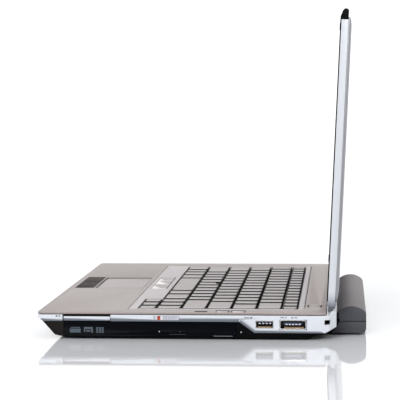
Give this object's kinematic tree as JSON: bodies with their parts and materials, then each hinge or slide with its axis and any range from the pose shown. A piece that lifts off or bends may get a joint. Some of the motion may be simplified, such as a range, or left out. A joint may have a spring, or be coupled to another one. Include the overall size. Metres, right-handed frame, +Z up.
{
  "type": "laptop computer",
  "caption": "Open notebook computer with hinged lid, full keyboard, pull-out disc drive, sliding card blank and a rear battery that stands out behind.",
  "frame": {"origin": "centre of the machine's bounding box seen from above, on the table", "axes": "+X to the user's right along the keyboard, +Y away from the user towards the screen, +Z up"},
  "size_m": [0.335, 0.2453, 0.2433],
  "materials": {
    "case_black": "fine textured black",
    "frame_silver": "satin silver paint on cast magnesium",
    "deck_taupe": "satin warm grey paint on brushed aluminium",
    "surround_light": "light warm grey",
    "key_grey": "satin warm grey with a pale legend-free top",
    "pad_grey": "fine matt",
    "button_brown": "dark brown satin",
    "stick_rubber": "fine grip",
    "gloss_black": "polished blue-black",
    "soft_rubber": "matt",
    "zinc": "plated sheet steel",
    "hinge_steel": "dark plated steel",
    "port_black": "moulded",
    "port_blue": "moulded",
    "board_green": "printed circuit laminate",
    "drive_metal": "cast and satin",
    "copper": "copper with a light oxide",
    "fan_black": "moulded",
    "battery_grey": "fine textured warm grey",
    "battery_dark": "fine textured dark grey",
    "cell_wrap": "shrink-wrapped cells",
    "lid_silver": "satin silver-grey paint over brushed aluminium",
    "rim_silver": "satin silver",
    "bezel_black": "matt black",
    "screen_glass": "dark anti-glare film",
    "spindle_plate": "turned"
  },
  "bodies": {
    "base": {"bottom_case": "case_black", "side_frame": "frame_silver", "palm_rest": "deck_taupe", "keyboard_surround": "surround_light", "keyboard_plate": "hinge_steel", "touchpad": "pad_grey", "pointing_stick": "stick_rubber", "drive_housing": "drive_metal", "usb_shell": "zinc", "usb_tongue": "port_black", "esata_shell": "zinc", "esata_tongue": "port_blue", "lock_plate": "port_black", "power_socket": "port_black", "motherboard": "board_green", "wifi_card": "board_green", "memory_module": "board_green", "hard_drive": "drive_metal", "fan_housing": "fan_black", "heat_sink": "copper", "speakers": "port_black", "rubber_feet": "soft_rubber", "bottom_screws": "hinge_steel", "hinge_brackets": "hinge_steel"},
    "lid": {"lid_back": "lid_silver", "lid_rim": "rim_silver", "lid_bezel": "bezel_black", "lcd_panel": "screen_glass", "lid_cap": "bezel_black", "hinge_arms": "hinge_steel", "lid_bumpers": "soft_rubber"},
    "disc_tray": {"drive_tray": "fan_black", "drive_bezel": "gloss_black"},
    "battery": {"battery_top": "battery_grey", "battery_bottom": "battery_dark", "battery_cells": "cell_wrap"},
    "eject_button": {"eject_button": "gloss_black"},
    "disc_spindle": {"disc_spindle": "spindle_plate"},
    "laser_carriage": {"laser_carriage": "hinge_steel"},
    "function_keys": {"function_keys": "key_grey"},
    "number_keys": {"number_keys": "key_grey"},
    "upper_keys": {"upper_keys": "key_grey"},
    "home_keys": {"home_keys": "key_grey"},
    "lower_keys": {"lower_keys": "key_grey"},
    "bottom_keys": {"bottom_keys": "key_grey"},
    "space_bar": {"space_bar": "key_grey"},
    "arrow_keys": {"arrow_keys": "key_grey"},
    "stick_button_left": {"stick_button_left": "key_grey"},
    "stick_button_middle": {"stick_button_middle": "key_grey"},
    "stick_button_right": {"stick_button_right": "key_grey"},
    "touchpad_button_left": {"touchpad_button_left": "button_brown"},
    "touchpad_button_right": {"touchpad_button_right": "button_brown"},
    "power_button": {"power_button": "deck_taupe"},
    "volume_up_button": {"volume_up_button": "key_grey"},
    "volume_down_button": {"volume_down_button": "key_grey"},
    "wireless_switch": {"wireless_switch": "frame_silver"},
    "card_blank": {"card_blank": "frame_silver"},
    "battery_latch_left": {"battery_latch_left": "hinge_steel"},
    "battery_latch_right": {"battery_latch_right": "hinge_steel"},
    "fan_rotor": {"fan_rotor": "fan_black"}
  },
  "joints": [
    {"name": "lid_hinge", "type": "hinge", "parent": "base", "child": "lid", "pos_m": [0, 0.0971, 0.0245], "axis": [-1, 0, 0], "range_deg": [-92.8, 42]},
    {"name": "tray_slide", "type": "slide", "parent": "base", "child": "disc_tray", "axis": [1, 0, 0], "range_m": [0, 0.118]},
    {"name": "eject_press", "type": "slide", "parent": "disc_tray", "child": "eject_button", "axis": [-1, 0, 0], "range_m": [0, 0.0004], "stiffness_N_per_m": 400, "springref_m": -0.0002},
    {"name": "spindle_spin", "type": "hinge", "parent": "disc_tray", "child": "disc_spindle", "pos_m": [0.105, -0.0383, 0.0065], "axis": [0, 0, 1], "continuous": true},
    {"name": "laser_slide", "type": "slide", "parent": "disc_tray", "child": "laser_carriage", "axis": [1, 0, 0], "range_m": [-0.002, 0.01]},
    {"name": "function_keys_press", "type": "slide", "parent": "base", "child": "function_keys", "axis": [0, 0, -1], "range_m": [0, 0.002], "stiffness_N_per_m": 600, "springref_m": -0.0008},
    {"name": "number_keys_press", "type": "slide", "parent": "base", "child": "number_keys", "axis": [0, 0, -1], "range_m": [0, 0.002], "stiffness_N_per_m": 600, "springref_m": -0.0008},
    {"name": "upper_keys_press", "type": "slide", "parent": "base", "child": "upper_keys", "axis": [0, 0, -1], "range_m": [0, 0.002], "stiffness_N_per_m": 600, "springref_m": -0.0008},
    {"name": "home_keys_press", "type": "slide", "parent": "base", "child": "home_keys", "axis": [0, 0, -1], "range_m": [0, 0.002], "stiffness_N_per_m": 600, "springref_m": -0.0008},
    {"name": "lower_keys_press", "type": "slide", "parent": "base", "child": "lower_keys", "axis": [0, 0, -1], "range_m": [0, 0.002], "stiffness_N_per_m": 600, "springref_m": -0.0008},
    {"name": "bottom_keys_press", "type": "slide", "parent": "base", "child": "bottom_keys", "axis": [0, 0, -1], "range_m": [0, 0.002], "stiffness_N_per_m": 600, "springref_m": -0.0008},
    {"name": "space_bar_press", "type": "slide", "parent": "base", "child": "space_bar", "axis": [0, 0, -1], "range_m": [0, 0.002], "stiffness_N_per_m": 600, "springref_m": -0.0008},
    {"name": "arrow_keys_press", "type": "slide", "parent": "base", "child": "arrow_keys", "axis": [0, 0, -1], "range_m": [0, 0.002], "stiffness_N_per_m": 600, "springref_m": -0.0008},
    {"name": "stick_button_left_press", "type": "slide", "parent": "base", "child": "stick_button_left", "axis": [0, 0, -1], "range_m": [0, 0.0012], "stiffness_N_per_m": 400, "springref_m": -0.0006},
    {"name": "stick_button_middle_press", "type": "slide", "parent": "base", "child": "stick_button_middle", "axis": [0, 0, -1], "range_m": [0, 0.0012], "stiffness_N_per_m": 400, "springref_m": -0.0006},
    {"name": "stick_button_right_press", "type": "slide", "parent": "base", "child": "stick_button_right", "axis": [0, 0, -1], "range_m": [0, 0.0012], "stiffness_N_per_m": 400, "springref_m": -0.0006},
    {"name": "touchpad_button_left_press", "type": "slide", "parent": "base", "child": "touchpad_button_left", "axis": [0, 0, -1], "range_m": [0, 0.001], "stiffness_N_per_m": 400, "springref_m": -0.0006},
    {"name": "touchpad_button_right_press", "type": "slide", "parent": "base", "child": "touchpad_button_right", "axis": [0, 0, -1], "range_m": [0, 0.001], "stiffness_N_per_m": 400, "springref_m": -0.0006},
    {"name": "power_button_press", "type": "slide", "parent": "base", "child": "power_button", "axis": [0, 0, -1], "range_m": [0, 0.0008], "stiffness_N_per_m": 400, "springref_m": -0.0005},
    {"name": "volume_up_button_press", "type": "slide", "parent": "base", "child": "volume_up_button", "axis": [0, 0, -1], "range_m": [0, 0.0008], "stiffness_N_per_m": 400, "springref_m": -0.0005},
    {"name": "volume_down_button_press", "type": "slide", "parent": "base", "child": "volume_down_button", "axis": [0, 0, -1], "range_m": [0, 0.0008], "stiffness_N_per_m": 400, "springref_m": -0.0005},
    {"name": "wireless_switch_slide", "type": "slide", "parent": "base", "child": "wireless_switch", "axis": [0, -1, 0], "range_m": [0, 0.0022]},
    {"name": "card_slide", "type": "slide", "parent": "base", "child": "card_blank", "axis": [1, 0, 0], "range_m": [0, 0.06]},
    {"name": "battery_slide", "type": "slide", "parent": "base", "child": "battery", "axis": [0, 1, 0], "range_m": [0, 0.018]},
    {"name": "battery_latch_left_slide", "type": "slide", "parent": "base", "child": "battery_latch_left", "axis": [1, 0, 0], "range_m": [0, 0.005], "stiffness_N_per_m": 300, "springref_m": -0.0015},
    {"name": "battery_latch_right_slide", "type": "slide", "parent": "base", "child": "battery_latch_right", "axis": [1, 0, 0], "range_m": [0, 0.005], "stiffness_N_per_m": 300, "springref_m": -0.0015},
    {"name": "fan_spin", "type": "hinge", "parent": "base", "child": "fan_rotor", "pos_m": [-0.128, 0.0532, 0.008], "axis": [0, 0, 1], "continuous": true}
  ]
}
